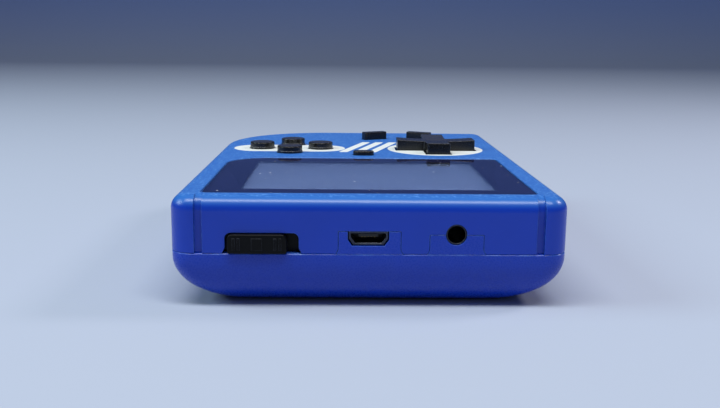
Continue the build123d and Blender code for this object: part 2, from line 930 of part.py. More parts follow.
# Cross: a dished plus on a round flange that rocks on a ball
with BuildPart() as dpad:
    posts([(dpad_x, dpad_y)], dpad_flange_radius, dpad_flange_bottom, dpad_flange_top)
    with BuildSketch(Plane.XY.offset(dpad_flange_top)) as cross:
        with Locations((dpad_x, dpad_y)):
            Rectangle(dpad_width, dpad_arm)
            Rectangle(dpad_arm, dpad_width)
        fillet(cross.vertices(), dpad_corner_radius)
    extrude(amount=dpad_top - dpad_flange_top)
    dish((dpad_x, dpad_y), dpad_top - dpad_dish_sag, dpad_width / 2, dpad_dish_sag)
    fillet(dpad.faces().filter_by(GeomType.SPHERE).edges(), dpad_top_round)
    dish(
        (dpad_x, dpad_y),
        dpad_top - dpad_dish_sag - dpad_centre_depth,
        dpad_centre_radius,
        dpad_centre_depth,
    )
    posts(dpad_places, dpad_plunger_radius, stem_bottom, dpad_flange_bottom)
    with Locations((dpad_x, dpad_y, pivot_height)):
        Sphere(pivot_ball_radius + pivot_fit, mode=Mode.SUBTRACT)
save(dpad, "dpad")

with BuildPart() as pivot_ball:
    with Locations((dpad_x, dpad_y, pivot_height)):
        Sphere(pivot_ball_radius)
save(pivot_ball, "pivot_ball")

with BuildPart() as dpad_post:
    posts([(dpad_x, dpad_y)], pivot_peg_radius, board_bottom, board_top)
    posts([(dpad_x, dpad_y)], pivot_foot_radius, board_top, sheet_top)
    posts([(dpad_x, dpad_y)], pivot_post_radius, sheet_top, pivot_height - pivot_neck)
    with Locations((dpad_x, dpad_y, pivot_height)):
        Sphere(pivot_ball_radius + pivot_fit, mode=Mode.SUBTRACT)
save(dpad_post, "dpad_post")

with BuildPart() as dpad_membrane:
    posts([(dpad_x, dpad_y)], dpad_plunger_offset + dome_foot_radius + sheet_margin, board_top, sheet_top)
    posts([(dpad_x, dpad_y)], pivot_foot_radius + pivot_hole_gap, board_top, sheet_top, Mode.SUBTRACT)
    domes(dpad_places)
save(dpad_membrane, "dpad_membrane")


# Round buttons: each a stepped and dished cap on a flange whose two ears run in the guide's slots
for name, place in button_places.items():
    with BuildPart() as button:
        posts([place], stem_radius, stem_bottom, key_flange_bottom)
        posts([place], button_flange_radius, key_flange_bottom, key_flange_top)
        block(
            around(place[0], ear_width),
            around(place[1], 2 * ear_reach),
            (key_flange_bottom, key_flange_top),
        )
        posts([place], button_radius, key_flange_top, case_height + button_step_height)
        posts([place], button_radius - button_step, case_height + button_step_height, button_top)
        fillet(button.edges().group_by(Axis.Z)[-1], button_top_round)
        dish(
            place,
            button_top - button_dish_depth,
            button_radius - button_step - button_top_round,
            button_dish_depth,
        )
    save(button, f"action_button_{name}")

with BuildPart() as action_membrane:
    posts(
        [(button_x, button_y)],
        button_spread / 2 + dome_foot_radius + sheet_margin,
        board_top,
        sheet_top,
    )
    domes(button_places.values())
save(action_membrane, "action_membrane")


# Menu bars, turned towards the thumbs, and the rubber sheet under them
for name, (x, y, turn) in bar_places.items():
    with BuildPart() as bar:
        for low, high, width, length in (
            (stem_bottom, key_flange_bottom, bar_stem_share * bar_length, bar_stem_share * bar_width),
            (
                key_flange_bottom,
                key_flange_top,
                bar_length + 2 * key_flange_margin,
                bar_width + 2 * key_flange_margin,
            ),
            (key_flange_top, case_height + bar_proud, bar_length, bar_width),
        ):
            with BuildSketch(Plane.XY.offset(low)):
                with Locations(Location((x, y), turn)):
                    RectangleRounded(width, length, bar_corner_radius)
            extrude(amount=high - low)
        fillet(bar.edges().group_by(Axis.Z)[-1], bar_top_round)
    save(bar, f"{name}_button")

with BuildPart() as menu_membrane:
    block(
        around((start_x + select_x) / 2, start_x - select_x + 2 * (dome_foot_radius + sheet_margin)),
        around(bars_y, 2 * (dome_foot_radius + sheet_margin)),
        (board_top, sheet_top),
    )
    domes([(x, y) for x, y, turn in bar_places.values()])
save(menu_membrane, "menu_membrane")

with BuildPart() as reset_button:
    with BuildSketch(Plane.XY.offset(key_flange_bottom)):
        with Locations((0, pill_y)):
            SlotOverall(pill_length + 2 * key_flange_margin, pill_width + 2 * key_flange_margin)
    extrude(amount=key_flange_thickness)
    with BuildSketch(Plane.XY.offset(key_flange_top)):
        with Locations((0, pill_y)):
            SlotOverall(pill_length, pill_width)
    extrude(amount=case_height + pill_proud - key_flange_top)
    fillet(reset_button.edges().group_by(Axis.Z)[-1], pill_top_round)
    posts([(0, pill_y)], pill_stem_radius, stem_bottom, key_flange_bottom)
save(reset_button, "reset_button")

with BuildPart() as reset_membrane:
    block(
        around(0, 2 * (dome_foot_radius + sheet_margin)),
        around(pill_y, 2 * (dome_foot_radius + sheet_margin)),
        (board_top, sheet_top),
    )
    domes([(0, pill_y)])
save(reset_membrane, "reset_membrane")


# Power slider: a ribbed knob held behind the wall by its flange, with a fork round the switch's lever
with BuildPart() as power_knob:
    with BuildSketch(ports_plane.offset(knob_rib_proud - knob_proud)):
        with BuildLine():
            FilletPolyline(
                (knob_x - knob_width / 2, knob_bottom),
                (knob_x + knob_width / 2, knob_bottom),
                (knob_x + knob_width / 2, knob_top),
                (knob_x - knob_width / 2, knob_top),
                radius=[
                    knob_foot_corner_radius,
                    knob_foot_corner_radius,
                    knob_corner_radius,
                    knob_corner_radius,
                ],
                close=True,
            )
        make_face()
    extrude(amount=knob_proud - knob_rib_proud + case_wall + fit_gap)
    fillet(power_knob.faces().sort_by(Axis.Y)[-1].edges(), knob_front_round)
    for offset, width in knob_ribs:
        block(
            around(knob_x + offset, width),
            (inner_y, ports_y + knob_proud),
            around((knob_bottom + knob_top) / 2, knob_rib_height),
        )
    block(
        around(knob_x, knob_width + 2 * knob_flange_margin),
        (knob_flange_back, knob_flange_front),
        (knob_bottom, slot_top + knob_flange_rise),
    )
    for side in (-1, 1):
        block(
            around(knob_x + side * (lever_width + fork_wall) / 2, fork_wall),
            (knob_flange_back - fork_reach, knob_flange_back),
            (lever_bottom, lever_bottom + lever_height),
        )
save(power_knob, "power_knob")

with BuildPart() as power_switch_lever:
    block(
        around(knob_x, slider_width),
        (switch_front - switch_depth + switch_sheet + fit_gap, switch_front - switch_sheet - fit_gap),
        (lever_bottom, lever_bottom + lever_height),
    )
    block(
        around(knob_x, lever_width),
        (switch_front - switch_depth / 2, knob_flange_back),
        (lever_bottom, lever_bottom + lever_height),
    )
save(power_switch_lever, "power_switch_lever")

with BuildPart() as power_switch_body:
    block(
        around(switch_x, switch_width),
        (switch_front - switch_depth, switch_front),
        (board_top, switch_top),
    )
    block(
        around(switch_x, switch_width - 2 * switch_sheet),
        (switch_front - switch_depth + switch_sheet, switch_front - switch_sheet),
        (board_top, switch_top - switch_sheet),
        Mode.SUBTRACT,
    )
    block(
        around(switch_x, lever_width + knob_travel + 2 * fit_gap),
        (switch_front - switch_depth / 2, switch_front),
        (lever_bottom - fit_gap, lever_bottom + lever_height + fit_gap),
        Mode.SUBTRACT,
    )
save(power_switch_body, "power_switch_body")


# Charging port: a folded metal can on four legs, a plastic tongue and its contacts
with BuildPart() as usb_shell:
    extrude(usb_outline(usb_sink, 0, usb_top), amount=usb_depth)
    extrude(usb_outline(usb_sink, -usb_sheet, usb_top - usb_sheet), amount=usb_depth, mode=Mode.SUBTRACT)
    for side in (-1, 1):
        for y in (usb_back + usb_leg_width, usb_back + 3 * usb_leg_width):
            block(
                around(usb_x + side * (usb_width - usb_sheet) / 2, usb_sheet),
                around(y, usb_leg_width),
                (board_top, usb_bottom + usb_chamfer_height + usb_sheet),
            )
save(usb_shell, "usb_shell")

with BuildPart() as usb_tongue:
    usb_inside = usb_outline(usb_sink + usb_depth - usb_block_depth, -usb_sheet, usb_top - usb_sheet)
    extrude(usb_inside, amount=usb_block_depth)
    block(
        around(usb_x, usb_tongue_width),
        (usb_back, usb_back + usb_block_depth + usb_tongue_reach),
        (usb_tongue_bottom, usb_tongue_bottom + usb_tongue_thickness),
    )
save(usb_tongue, "usb_tongue")

with BuildPart() as usb_contacts:
    for index in range(usb_pin_count):
        block(
            around(usb_x + (index - (usb_pin_count - 1) / 2) * usb_pin_pitch, usb_pin_width),
            (usb_back + usb_block_depth, usb_back + usb_block_depth + usb_tongue_reach - usb_pin_width),
            (usb_tongue_bottom - usb_pin_sheet, usb_tongue_bottom),
        )
save(usb_contacts, "usb_contacts")


# Jack: a moulded body on the board with a round nozzle, and contacts down its side
with BuildPart() as av_jack_body:
    block(
        around(jack_x, jack_width),
        (jack_back, inner_y - fit_gap),
        (board_top, board_top + jack_body_height),
    )
    with BuildSketch(ports_plane.offset(jack_sink)):
        with Locations((jack_x, jack_height)):
            Circle(jack_nozzle_radius)
    extrude(amount=case_wall)
    with BuildSketch(ports_plane.offset(jack_sink)):
        with Locations((jack_x, jack_height)):
            Circle(jack_bore_radius)
    extrude(amount=jack_bore_length, mode=Mode.SUBTRACT)
save(av_jack_body, "av_jack_body")

with BuildPart() as av_jack_contacts:
    jack_contact_pitch = (inner_y - jack_back) / (jack_contact_count + 1)
    for index in range(jack_contact_count):
        block(
            (jack_x - jack_width / 2 - jack_contact_sheet, jack_x - jack_width / 2),
            around(jack_back + (index + 1) * jack_contact_pitch, jack_contact_width),
            (board_top, jack_height),
        )
save(av_jack_contacts, "av_jack_contacts")


# Battery, its door with two hooks and a latch, and the sprung contacts that reach up to the board
with BuildPart() as battery:
    block(
        around(0, battery_width),
        around(battery_y, battery_length),
        (battery_bottom, battery_bottom + battery_thickness),
    )
    fillet(battery.edges().filter_by(Axis.Y), battery_round)
save(battery, "battery")

with BuildPart() as battery_door:
    with BuildSketch(Plane.XY.offset(door_sink)):
        with Locations((0, battery_y)):
            RectangleRounded(2 * door_half_x, 2 * door_half_y, door_corner_radius)
    extrude(amount=door_thickness)
    chamfer(battery_door.edges().group_by(Axis.Z)[0], door_bevel)
    for side in (-1, 1):
        block(
            around(side * hook_offset, hook_width),
            (hook_tip_y, battery_y - door_half_y + hook_reach),
            (door_top - hook_thickness, door_top),
        )
    block(
        around(0, latch_width),
        (door_end - latch_inset - latch_thickness, door_end - latch_inset),
        (door_sink + door_bevel, door_top + latch_rise),
    )
    with BuildSketch(Plane.XY.offset(door_sink)):
        with Locations((0, door_end - grip_inset - (grip_count - 1) / 2 * grip_pitch)):
            with GridLocations(grip_width, grip_pitch, 1, grip_count):
                SlotOverall(grip_width, grip_pitch / 2)
    extrude(amount=grip_depth, mode=Mode.SUBTRACT)
save(battery_door, "battery_door")

with BuildPart() as battery_contact_block:
    block(
        around(0, contact_block_width),
        (bay_end, bay_end + contact_block_depth),
        (ledge_height, contact_top),
    )
    for x in contact_rows:
        block(
            around(x, contact_width + 2 * fit_gap),
            (bay_end, bay_end + contact_block_depth),
            (contact_level, contact_top),
            Mode.SUBTRACT,
        )
        block(
            around(x, contact_width + 2 * fit_gap),
            (bay_end, bay_end + contact_bend_radius),
            (contact_level - contact_bend_radius, contact_level),
            Mode.SUBTRACT,
        )
save(battery_contact_block, "battery_contact_block")

with BuildPart() as battery_contacts:
    for x in contact_rows:
        with BuildSketch(Plane.YZ.offset(x - contact_width / 2)):
            with BuildLine():
                FilletPolyline(
                    (battery_end + contact_sheet / 2, ledge_height + contact_sheet),
                    (battery_end + contact_sheet / 2, contact_level + contact_sheet / 2),
                    (bay_end + contact_block_depth + contact_sheet / 2, contact_level + contact_sheet / 2),
                    (bay_end + contact_block_depth + contact_sheet / 2, board_bottom),
                    radius=contact_bend_radius,
                )
            trace(line_width=contact_sheet)
        extrude(amount=contact_width)
save(battery_contacts, "battery_contacts")


# Speaker over the slits of the back, and its two wires up to the board
with BuildPart() as speaker_frame:
    posts([(0, speaker_y)], speaker_radius, speaker_bottom, speaker_top)
    posts(
        [(0, speaker_y)],
        speaker_radius - speaker_rim,
        speaker_bottom,
        speaker_top - speaker_plate,
        Mode.SUBTRACT,
    )
    posts([(0, speaker_y)], speaker_plate_hole_radius, speaker_bottom, speaker_top, Mode.SUBTRACT)
save(speaker_frame, "speaker_frame")

with BuildPart() as speaker_cone:
    with BuildSketch(Plane(origin=(0, speaker_y, speaker_bottom), x_dir=(1, 0, 0), z_dir=(0, -1, 0))):
        with BuildLine():
            Polyline(
                (0, cone_thickness + cone_depth),
                (cone_cap_radius, cone_thickness + cone_depth),
                (speaker_radius - speaker_rim, cone_thickness),
                (speaker_radius - speaker_rim, 2 * cone_thickness),
                (cone_cap_radius, 2 * cone_thickness + cone_depth),
                (0, 2 * cone_thickness + cone_depth),
                close=True,
            )
        make_face()
    revolve(axis=Axis((0, speaker_y, 0), (0, 0, 1)))
save(speaker_cone, "speaker_cone")

with BuildPart() as speaker_magnet:
    posts([(0, speaker_y)], magnet_radius, speaker_top, speaker_top + magnet_thickness)
save(speaker_magnet, "speaker_magnet")

with BuildPart() as speaker_wires:
    for y in around(speaker_y, wire_spacing):
        with BuildLine(Plane(origin=(0, y, 0), x_dir=(1, 0, 0), z_dir=(0, -1, 0))) as path:
            FilletPolyline(
                (wire_inset - speaker_radius, speaker_top),
                (wire_inset - speaker_radius, (speaker_top + board_bottom) / 2),
                (wire_inset - speaker_radius - wire_run, (speaker_top + board_bottom) / 2),
                (wire_inset - speaker_radius - wire_run, board_bottom),
                radius=wire_bend_share * (board_bottom - speaker_top),
            )
        with BuildSketch(Plane(origin=path.line @ 0, z_dir=path.line % 0)):
            Circle(wire_radius)
        sweep()
save(speaker_wires, "speaker_wires")


# Screws: four hold the two shells together, four hold the board under the front shell
for name, places, seat, shank_radius, shank_length, head_radius, head_height in (
    (
        "case_screws",
        screw_places,
        screw_seat_height,
        case_screw_radius,
        case_screw_length,
        case_head_radius,
        case_head_height,
    ),
    (
        "board_screws",
        post_places,
        board_bottom,
        board_screw_radius,
        board_screw_length,
        board_head_radius,
        board_head_height,
    ),
):
    with BuildPart() as screws:
        posts(places, head_radius, seat - head_height, seat)
        posts(places, shank_radius, seat, seat + shank_length)
        with BuildSketch(Plane.XY.offset(seat - head_height)):
            with Locations(*places):
                Rectangle(drive_width, 2 * drive_share * head_radius)
                Rectangle(2 * drive_share * head_radius, drive_width)
        extrude(amount=head_height / 2, mode=Mode.SUBTRACT)
    save(screws, name)


# Parts soldered to the board
with BuildPart() as processor_blob:
    posts([case_place(blob_shares)], blob_radius, board_bottom - blob_height, board_bottom)
    fillet(processor_blob.edges().group_by(Axis.Z)[0], blob_height * blob_round_share)
save(processor_blob, "processor_blob")

for name, size, shares, low, lead_low in (
    (
        "memory_chip",
        memory_size,
        memory_shares,
        board_bottom - memory_size[2],
        board_bottom - lead_thickness,
    ),
    ("charge_chip", charge_size, charge_shares, board_top, board_top),
):
    x, y = case_place(shares)
    with BuildPart() as chip:
        block(around(x, size[0]), around(y, size[1]), (low, low + size[2]))
        for index in range(lead_count):
            block(
                around(x + (index - (lead_count - 1) / 2) * size[0] / lead_count, lead_width),
                around(y, size[1] + 2 * lead_reach),
                (lead_low, lead_low + lead_thickness),
            )
    save(chip, name)

with BuildPart() as crystal_can:
    block(
        around(crystal_x, crystal_size[0]),
        around(crystal_y, crystal_size[1]),
        (board_top, board_top + crystal_size[2]),
    )
    fillet(crystal_can.edges().filter_by(Axis.Z), crystal_size[0] * crystal_round_share)
save(crystal_can, "crystal_can")

with BuildPart() as capacitors:
    posts(
        [case_place(shares) for shares in capacitor_shares],
        capacitor_radius,
        board_bottom - capacitor_height,
        board_bottom,
    )
    chamfer(capacitors.edges().group_by(Axis.Z)[0], capacitor_rim)
save(capacitors, "capacitors")
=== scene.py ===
import json
import math

import bmesh
import bpy
from mathutils import Matrix, Vector


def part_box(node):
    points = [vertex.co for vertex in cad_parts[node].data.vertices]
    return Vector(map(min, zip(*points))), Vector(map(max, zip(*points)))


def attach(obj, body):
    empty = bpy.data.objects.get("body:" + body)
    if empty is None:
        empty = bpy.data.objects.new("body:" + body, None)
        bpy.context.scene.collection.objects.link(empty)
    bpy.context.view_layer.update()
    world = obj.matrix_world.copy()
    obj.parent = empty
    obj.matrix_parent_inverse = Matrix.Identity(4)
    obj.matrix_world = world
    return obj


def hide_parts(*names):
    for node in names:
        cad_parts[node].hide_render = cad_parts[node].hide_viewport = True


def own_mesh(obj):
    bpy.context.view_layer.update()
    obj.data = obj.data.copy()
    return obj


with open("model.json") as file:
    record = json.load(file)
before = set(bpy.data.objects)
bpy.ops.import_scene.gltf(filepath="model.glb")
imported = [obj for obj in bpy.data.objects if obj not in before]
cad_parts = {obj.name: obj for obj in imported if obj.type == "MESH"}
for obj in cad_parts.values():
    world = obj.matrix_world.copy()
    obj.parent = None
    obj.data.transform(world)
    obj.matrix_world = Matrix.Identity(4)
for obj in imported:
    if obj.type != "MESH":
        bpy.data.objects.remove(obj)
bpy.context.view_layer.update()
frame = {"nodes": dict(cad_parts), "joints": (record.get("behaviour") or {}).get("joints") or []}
nodes = frame["nodes"]

# Back shell: the lower half of the case, moulded in blue plastic with a satin skin.
# It lies on its flat back. A pale band in patches just below the parting line is a painted highlight
# where the edge there catches the light, and the edges are painted lighter as rubbed wear and as painted
# highlights.
shell_blue = (7, 56, 180)
# The paler blue is painted on edges and along the parting line, as rubbed wear and as painted highlights.
shell_rub_and_highlight = (84, 138, 226)
shell_skin = {
    "roughness": 0.29,
    "grain": 3.2,
    "depth": 0.004,
    "edge": 0.2,
    "wear_and_highlight": 0.8,
    "specular": 0.4,
}
parting_level = 11.45
# A band just below the parting line is painted pale, as a painted highlight where the edge catches the
# light.
parting_highlight_start_below = 0.35
parting_highlight_full_below = 0.12
parting_highlight_end_above = 0.1
parting_highlight_weight = 0.5


def shade(colour, share=1.0):
    """The linear colour that shaders take, from a share of a screen colour written 0 to 255."""
    return (*(((share * c / 255 + 0.055) / 1.055) ** 2.4 for c in colour), 1.0)


class Graph:
    """A node tree written in lines: each call adds a node and returns what it gives."""

    def __init__(self, tree):
        self.tree = tree

    def add(self, kind, **settings):
        node = self.tree.nodes.new(kind)
        for name, value in settings.items():
            setattr(node, name, value)
        return node

    def give(self, value, socket):
        if isinstance(value, bpy.types.NodeSocket):
            self.tree.links.new(value, socket)
        else:
            socket.default_value = value

    def calc(self, operation, first, second=0.0, third=0.0):
        node = self.add("ShaderNodeMath", operation=operation)
        for value, socket in zip((first, second, third), node.inputs):
            self.give(value, socket)
        return node.outputs[0]


class Finish(Graph):
    """A material. It works in millimetres of the part's own place, so patterns stay on their piece."""

    def __init__(self, name, roughness, metallic=0.0, specular=0.5):
        self.material = bpy.data.materials.new(name)
        self.material.use_nodes = True
        super().__init__(self.material.node_tree)
        self.shader = self.tree.nodes["Principled BSDF"]
        self.shader.inputs["Metallic"].default_value = metallic
        self.shader.inputs["Specular IOR Level"].default_value = specular
        self.give(roughness, self.shader.inputs["Roughness"])
        scaled = self.add("ShaderNodeVectorMath", operation="SCALE")
        scaled.inputs["Scale"].default_value = 1000
        self.give(self.add("ShaderNodeTexCoord").outputs["Object"], scaled.inputs[0])
        self.place = scaled.outputs[0]

    def ease(self, value, low, high, start=0.0, end=1.0):
        """A soft step from start to end, while the value goes from low to high."""
        node = self.add("ShaderNodeMapRange", interpolation_type="SMOOTHSTEP")
        for item, socket in zip((value, low, high, start, end), node.inputs):
            self.give(item, socket)
        return node.outputs[0]

    def mixed(self, share, first, second):
        """A mix of two colours. The colour sockets come after those for numbers and vectors."""
        node = self.add("ShaderNodeMix", data_type="RGBA")
        self.give(share, node.inputs["Factor"])
        for value, socket in zip((first, second), node.inputs[6:8]):
            self.give(value, socket)
        return node.outputs[2]

    def axis(self, name):
        node = self.add("ShaderNodeSeparateXYZ")
        self.give(self.place, node.inputs[0])
        return node.outputs[name]

    def noise(self, per_mm, detail=2.0, shift=0.0):
        """Clouds from 0 to 1, per_mm of them in a millimetre. Another shift gives other clouds."""
        node = self.add("ShaderNodeTexNoise", noise_dimensions="4D")
        self.give(self.place, node.inputs["Vector"])
        self.give(shift, node.inputs["W"])
        self.give(per_mm, node.inputs["Scale"])
        self.give(detail, node.inputs["Detail"])
        return node.outputs["Fac"]

    def specks(self, per_mm, radius, shift=0.0):
        """Scattered round specks. Their radius is a share of the space that each has."""
        node = self.add("ShaderNodeTexVoronoi", voronoi_dimensions="4D")
        self.give(self.place, node.inputs["Vector"])
        self.give(shift, node.inputs["W"])
        self.give(per_mm, node.inputs["Scale"])
        return self.ease(node.outputs["Distance"], radius, 0.4 * radius)

    def edges(self, radius):
        """How far the surface turns within a radius: near 1 along an edge and 0 on a flat."""
        hardly, sharply = 0.985, 0.8
        bevel = self.add("ShaderNodeBevel", samples=4)
        self.give(radius / 1000, bevel.inputs["Radius"])
        turned = self.add("ShaderNodeVectorMath", operation="DOT_PRODUCT")
        self.give(bevel.outputs[0], turned.inputs[0])
        self.give(self.add("ShaderNodeNewGeometry").outputs["Normal"], turned.inputs[1])
        return self.ease(turned.outputs["Value"], hardly, sharply)

    def edge_wear_and_highlight(self, radius, most):
        """Edges painted lighter, as wear and as painted highlights, in a share that comes and goes but
        never quite stops.
        """
        worn_and_lit = self.ease(self.noise(0.9, detail=3, shift=5), 0.35, 0.65, 0.25, most)
        return self.calc("MULTIPLY", self.edges(radius), worn_and_lit)

    def emboss(self, height, depth, round_edge=0.0):
        """Relief as deep as depth in millimetres, on edges that look rounded."""
        node = self.add("ShaderNodeBump")
        self.give(height, node.inputs["Height"])
        self.give(depth / 1000, node.inputs["Distance"])
        if round_edge:
            bevel = self.add("ShaderNodeBevel", samples=4)
            self.give(round_edge / 1000, bevel.inputs["Radius"])
            self.give(bevel.outputs[0], node.inputs["Normal"])
        self.give(node.outputs[0], self.shader.inputs["Normal"])

    def paint(self, colour):
        self.give(colour, self.shader.inputs["Base Color"])

    def cover(self, *names):
        for name in names:
            nodes[name].data.materials.clear()
            nodes[name].data.materials.append(self.material)


class Moulded(Finish):
    """Moulded plastic or rubber: drifting colour, the fine grain of the mould, and edges painted lighter
    as rubbed wear and as painted highlights.
    """

    drift = 0.94
    dulling = 0.05

    def __init__(
        self,
        name,
        colour,
        worn_and_lit,
        roughness,
        grain=3.0,
        depth=0.004,
        edge=0.12,
        wear_and_highlight=0.6,
        specular=0.5,
    ):
        super().__init__(name, roughness, specular=specular)
        self.body = self.mixed(self.noise(0.12, detail=3), shade(colour, self.drift), shade(colour))
        self.fine = self.noise(grain, shift=9)
        # Edges are painted lighter: rubbed wear, and painted highlights where the edges catch the light.
        self.wear_and_highlight = self.edge_wear_and_highlight(edge, wear_and_highlight)
        self.paint(self.mixed(self.wear_and_highlight, self.body, shade(worn_and_lit)))
        dull = self.ease(self.fine, 0.3, 0.7, roughness - self.dulling, roughness + self.dulling)
        self.give(dull, self.shader.inputs["Roughness"])
        self.emboss(self.fine, depth, edge)


class Parted(Moulded):
    """The satin plastic of the case, with a painted highlight in patches just below the parting line."""

    def __init__(self, name):
        super().__init__(name, shell_blue, shell_rub_and_highlight, **shell_skin)
        height = self.axis("Z")
        rising = self.ease(height, parting_level - parting_highlight_start_below, parting_level - parting_highlight_full_below)
        falling = self.ease(height, parting_level + parting_highlight_end_above, parting_level)
        # Painted highlight: a pale band in patches just below the parting line.
        patches = self.ease(self.noise(0.25, detail=3, shift=3), 0.4, 0.7)
        parting_highlight = self.calc("MULTIPLY", self.calc("MULTIPLY", rising, falling), patches)
        worn_and_lit = self.calc("MAXIMUM", self.wear_and_highlight, self.calc("MULTIPLY", parting_highlight, parting_highlight_weight))
        self.paint(self.mixed(worn_and_lit, self.body, shade(shell_rub_and_highlight)))


Parted("case_blue_satin").cover("back_shell")

# Front shell: the upper half, in the same blue plastic. The mould of its face is spark-eroded, so the
# face has a coarse sparkling grain that ends where the rounded rim begins. The face and the upper rim are
# painted a lighter blue, as painted sheen on the face and a painted highlight on the rim. The grain is
# painted with light glints on its peaks, which are painted highlights, and with darker blue in its pits,
# which is painted shade.
face_level = 1000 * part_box("front_shell")[1].z
face_grain = 2.2
face_depth = 0.06
face_roughness = 0.46
rim_roughness = 0.27
fine_share = 0.35
fine_ratio = 2.6
glint_and_shade_weight = 0.6
grain_start_below = 0.5
grain_full_below = 0.05
rim_start_below = 2.4
rim_full_below = 0.6
# Painted light: the lighter face blue is painted sheen and highlight, the glint colour is painted
# highlights, and the pit colour is painted shade.
face_lit_blue = (44, 106, 190)
face_glint_highlight = (116, 174, 242)
face_pit_shade = (28, 82, 174)


class Grained(Moulded):
    """The satin plastic of the case with the coarse grain of the face on its top, painted glints and
    painted shade on the grain, and a painted sheen on the face and rim.
    """

    def __init__(self, name):
        super().__init__(name, shell_blue, shell_rub_and_highlight, **shell_skin)
        height = self.axis("Z")
        on_face = self.ease(height, face_level - grain_start_below, face_level - grain_full_below)
        large = self.noise(face_grain, detail=3, shift=2)
        small = self.noise(fine_ratio * face_grain, shift=6)
        coarse = self.calc("MULTIPLY_ADD", small, fine_share, large)
        coarse = self.calc("MULTIPLY", coarse, 1 / (1 + fine_share))
        # Painted highlights on the grain's peaks and painted shade in its pits.
        painted_glint = self.calc("MULTIPLY", on_face, self.ease(coarse, 0.53, 0.64, 0.0, glint_and_shade_weight))
        pit_shade = self.calc("MULTIPLY", on_face, self.ease(coarse, 0.5, 0.38, 0.0, glint_and_shade_weight))
        # The face and upper rim are painted a lighter blue, as painted sheen and highlight.
        on_rim = self.ease(height, face_level - rim_start_below, face_level - rim_full_below)
        lit_face_and_rim = self.mixed(on_rim, self.body, shade(face_lit_blue))
        grain_glints_and_shade = self.mixed(pit_shade, self.mixed(painted_glint, lit_face_and_rim, shade(face_glint_highlight)), shade(face_pit_shade))
        self.paint(self.mixed(self.wear_and_highlight, grain_glints_and_shade, shade(shell_rub_and_highlight)))
        dull = self.ease(on_face, 0, 1, rim_roughness, face_roughness)
        self.give(dull, self.shader.inputs["Roughness"])
        raised = self.calc("MULTIPLY", coarse, on_face)
        satin_depth = shell_skin["depth"]
        relief = self.calc("MULTIPLY_ADD", raised, face_depth / satin_depth, self.fine)
        self.emboss(relief, satin_depth, shell_skin["edge"])


Grained("case_blue_grained").cover("front_shell")

# Battery door: a plate of the same blue plastic on two hooks, with five grip grooves over its latch.
# Its skin is a little duller than the shell's.
door_blue = (12, 62, 184)
door_grain = shell_skin["grain"]
door_plastic = Moulded("door_blue_satin", door_blue, shell_rub_and_highlight, 0.34, grain=door_grain, wear_and_highlight=0.75)
door_plastic.cover("battery_door")

# Print on the face: white ink, screened on before the keys go in. A disc lies under the cross, a band
# with round ends crosses under the round buttons, and three slanted stripes run between them.
ink_thickness = 0.02
ink_white = (228, 234, 234)
ink_thin = (150, 176, 220)
disc_radius = 13.3
cross_width = 21.5
cross_arm = 6.2
cross_gap = 0.5
round_keys = [f"action_button_{side}" for side in ("right", "left", "top", "bottom")]
round_key_radius = 3.4
round_key_gap = 0.22
band_ends = (4.9, 35.8)
band_round = 6.9
stripe_count = 3
stripe_pitch = 3.9
stripe_middle = (-1.9, -20.0)
stripe_sizes = {"Width": 2.4, "Length": 22.0, "Slant": 7.0, "Corner": 0.6, "Thickness": ink_thickness}
ring_steps = 96
weld_reach = 1e-7


def middle(node):
    """The middle of a node in the plan, in millimetres."""
    return [500 * (low + high) for low, high in zip(*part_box(node))][:2]


def ring(centre, radius):
    turns = [2 * math.pi * step / ring_steps for step in range(ring_steps)]
    return [(centre[0] + radius * math.cos(t), centre[1] + radius * math.sin(t)) for t in turns]


def plus(centre, reach, half):
    """A cross with arms that reach out from its centre and are two halves wide."""
    points = []
    for quarter in range(4):
        for x, y in ((reach, half), (half, half), (half, reach)):
            for _ in range(quarter):
                x, y = -y, x
            points.append((centre[0] + x, centre[1] + y))
    return points


def band(start, end, y, radius):
    """A level band from start to end with a half round at each end."""
    half = ring_steps // 2
    turns = [math.pi * step / half for step in range(half + 1)]
    upper = [(end - radius + radius * math.sin(t), y + radius * math.cos(t)) for t in turns]
    lower = [(start + radius - radius * math.sin(t), y - radius * math.cos(t)) for t in turns]
    return upper + lower


def placed(name, mesh, finish):
    """A piece of the scene with one finish, at the part's own origin."""
    mesh.materials.clear()
    mesh.materials.append(finish.material)
    piece = bpy.data.objects.new(name, mesh)
    bpy.context.scene.collection.objects.link(piece)
    return piece


def film(name, outlines, thickness):
    """A flat sheet inside the outlines, level with the ink. An outline within another is a hole."""
    curve = bpy.data.curves.new(name, "CURVE")
    curve.dimensions = "2D"
    curve.fill_mode = "BOTH"
    curve.extrude = thickness / 2 / 1000
    for outline in outlines:
        line = curve.splines.new("POLY")
        line.points.add(len(outline) - 1)
        for point, (x, y) in zip(line.points, outline):
            point.co = (x / 1000, y / 1000, 0, 1)
        line.use_cyclic_u = True
    drawn = bpy.data.objects.new(name + "_line", curve)
    bpy.context.scene.collection.objects.link(drawn)
    mesh = bpy.data.meshes.new_from_object(drawn.evaluated_get(bpy.context.evaluated_depsgraph_get()))
    bpy.data.objects.remove(drawn)
    mesh.transform(Matrix.Translation((0, 0, (face_level + ink_thickness / 2) / 1000)))
    shape = bmesh.new()
    shape.from_mesh(mesh)
    bmesh.ops.remove_doubles(shape, verts=shape.verts, dist=weld_reach)
    bmesh.ops.recalc_face_normals(shape, faces=shape.faces)
    shape.to_mesh(mesh)
    shape.free()
    return mesh


def carved(piece, cutter, operation):
    """The piece less the cutter's solid, or what the two share. The cutter goes."""
    cut = piece.modifiers.new("cut", "BOOLEAN")
    cut.operation = operation
    cut.solver = "EXACT"
    cut.object = cutter
    whole = piece.data
    evaluated = piece.evaluated_get(bpy.context.evaluated_depsgraph_get())
    piece.data = bpy.data.meshes.new_from_object(evaluated)
    piece.modifiers.clear()
    bpy.data.meshes.remove(whole)
    bpy.data.objects.remove(cutter)
    return piece


